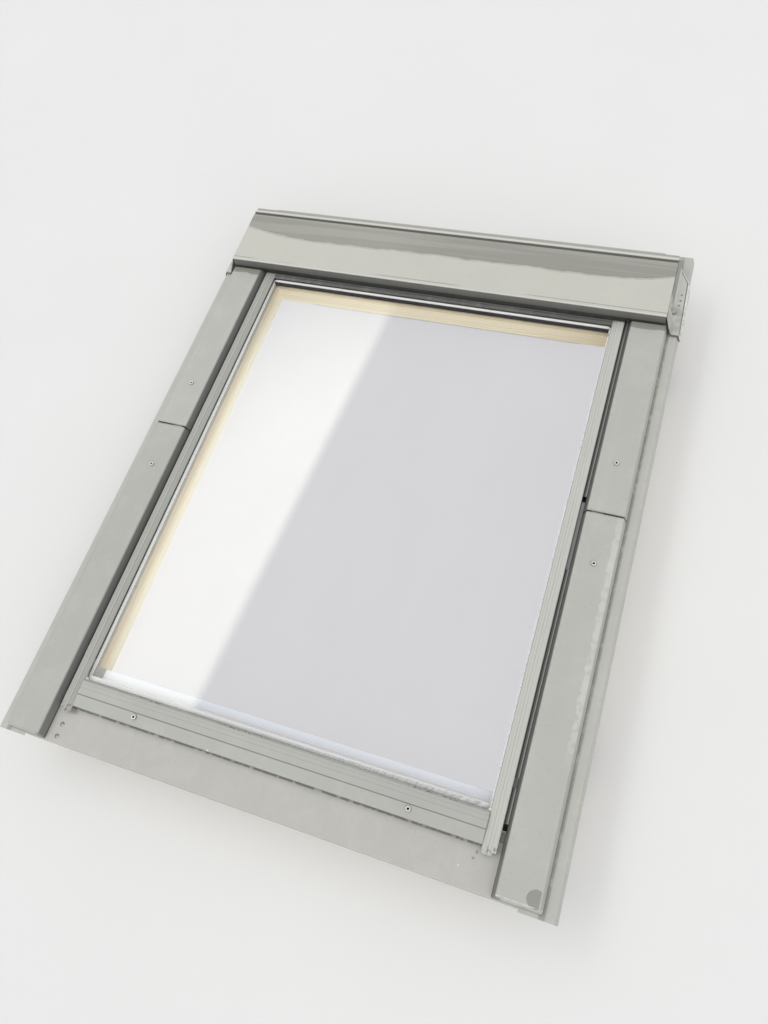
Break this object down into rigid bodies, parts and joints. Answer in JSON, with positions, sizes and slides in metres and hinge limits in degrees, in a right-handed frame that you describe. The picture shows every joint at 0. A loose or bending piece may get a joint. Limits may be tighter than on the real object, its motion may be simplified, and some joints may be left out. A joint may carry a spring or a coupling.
{
  "type": "roof window",
  "caption": "Centre-pivot roof window: timber frame and sash, double glazing, grey metal covers, hood and flashing strips.",
  "frame": {"origin": "centre of the whole part in plan, on the room side of the timber frame", "axes": "+X across the window to the right seen from outside, +Y up the roof slope, +Z out of the roof"},
  "size_m": [0.8564, 1.075, 0.136],
  "materials": {
    "pine": "clear lacquered pine",
    "cladding": "grey stove-enamelled aluminium sheet, weathered",
    "dark_flashing": "soft dark grey sheet with a crumpled edge",
    "profile_metal": "grey stove-enamelled aluminium section",
    "spacer_metal": "bright folded aluminium",
    "carrier_metal": "mill finish",
    "bar_metal": "satin anodised",
    "flap_metal": "satin anodised",
    "zinc_sheet": "zinc-plated steel",
    "zinc_screw": "zinc-plated steel",
    "hinge_steel": "zinc-plated steel",
    "bolt_steel": "plain steel",
    "stainless_screw": "stainless steel",
    "rivet_metal": "dull aluminium",
    "brass_bush": "plain brass",
    "pane_glass": "clear float glass",
    "sealant": "matt black sealant",
    "seal_rubber": "matt black rubber",
    "foam": "dark grey foam",
    "dark_plastic": "dark grey plastic"
  },
  "bodies": {
    "frame": {"frame_side_left": "pine", "frame_side_right": "pine", "frame_top": "pine", "frame_bottom": "pine", "frame_joint_screws": "zinc_screw", "frame_screws": "zinc_screw", "frame_seals": "seal_rubber", "hinge_housing_left": "hinge_steel", "hinge_housing_right": "hinge_steel", "upper_cover_left": "cladding", "upper_cover_right": "cladding", "upper_cover_clips": "zinc_sheet", "upper_cover_screws": "stainless_screw", "hood": "cladding", "hood_end_left": "dark_plastic", "hood_end_right": "dark_plastic", "hood_brackets": "zinc_sheet", "apron": "cladding", "apron_brackets": "zinc_sheet", "apron_rivets": "rivet_metal", "flashing_left": "cladding", "flashing_right": "cladding", "flashing_top": "cladding", "flashing_corner_left": "dark_flashing", "flashing_corner_right": "dark_flashing", "flashing_nails": "zinc_screw", "mounting_brackets": "zinc_sheet", "striker_plate": "zinc_sheet", "bolt_bushes": "brass_bush"},
    "sash": {"sash_side_left": "pine", "sash_side_right": "pine", "sash_top": "pine", "sash_bottom": "pine", "outer_pane": "pane_glass", "inner_pane": "pane_glass", "pane_spacer": "spacer_metal", "pane_edge_seal": "sealant", "glazing_tape": "foam", "glazing_gasket": "seal_rubber", "setting_blocks": "dark_plastic", "sash_profile_left": "profile_metal", "sash_profile_right": "profile_metal", "sash_profile_top": "profile_metal", "sash_bottom_cover": "profile_metal", "sash_bottom_carrier": "carrier_metal", "sash_cover_screws": "stainless_screw", "lower_cover_left": "cladding", "lower_cover_right": "cladding", "lower_cover_clips": "zinc_sheet", "sash_hinge_left": "hinge_steel", "sash_hinge_right": "hinge_steel", "sash_hinge_screws": "zinc_screw", "bar_brackets": "zinc_sheet", "air_filter": "foam", "latch_case": "dark_plastic", "bolt_housing": "brass_bush"},
    "control_bar": {"control_bar": "bar_metal"},
    "vent_flap": {"vent_flap": "flap_metal"},
    "latch_bolt": {"latch_bolt": "bolt_steel"},
    "barrel_bolt": {"barrel_bolt": "brass_bush"}
  },
  "joints": [
    {"name": "sash_pivot", "type": "hinge", "parent": "frame", "child": "sash", "pos_m": [0, 0.0125, 0.114], "axis": [-1, 0, 0], "range_deg": [0, 160]},
    {"name": "bar_hinge", "type": "hinge", "parent": "sash", "child": "control_bar", "pos_m": [0, 0.4145, 0.03], "axis": [1, 0, 0], "range_deg": [-36, 0]},
    {"name": "flap_hinge", "type": "hinge", "parent": "sash", "child": "vent_flap", "pos_m": [0, 0.4285, 0.0335], "axis": [1, 0, 0], "range_deg": [0, 30]},
    {"name": "latch_slide", "type": "slide", "parent": "sash", "child": "latch_bolt", "axis": [0, 1, 0], "range_m": [0, 0.0105]},
    {"name": "bolt_slide", "type": "slide", "parent": "sash", "child": "barrel_bolt", "axis": [1, 0, 0], "range_m": [0, 0.012]}
  ],
  "couplings": [
    {"joint": "flap_hinge", "follows": "bar_hinge", "ratio": -0.83333},
    {"joint": "latch_slide", "follows": "bar_hinge", "m_per_rad": -0.01671}
  ]
}
